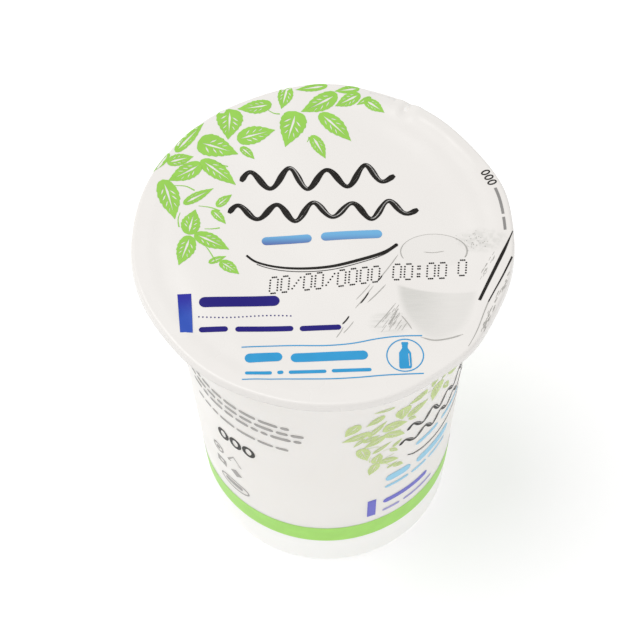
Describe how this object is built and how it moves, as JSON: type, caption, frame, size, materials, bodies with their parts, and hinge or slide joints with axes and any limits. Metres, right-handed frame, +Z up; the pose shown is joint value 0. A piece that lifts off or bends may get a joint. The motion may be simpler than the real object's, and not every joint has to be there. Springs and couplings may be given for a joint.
{
  "type": "yogurt pot",
  "caption": "Tapered round plastic yogurt pot, full and shut, with a foil lid sealed to its flange and a printed band above its rounded base.",
  "frame": {"origin": "centre of the base, on the surface the pot stands on", "axes": "+Z up along the pot's axis, from base to lid; -Y towards the viewer who reads the lid"},
  "size_m": [0.0748, 0.0748, 0.088],
  "materials": {
    "cup_plastic": "satin white plastic",
    "lid_foil": "foil with warm white satin lacquer",
    "print_green": "printed ink",
    "print_dark": "printed ink",
    "print_grey": "printed ink",
    "print_blue": "printed ink",
    "print_indigo": "printed ink"
  },
  "bodies": {
    "root": {"cup": "cup_plastic", "lid": "lid_foil"}
  },
  "joints": []
}
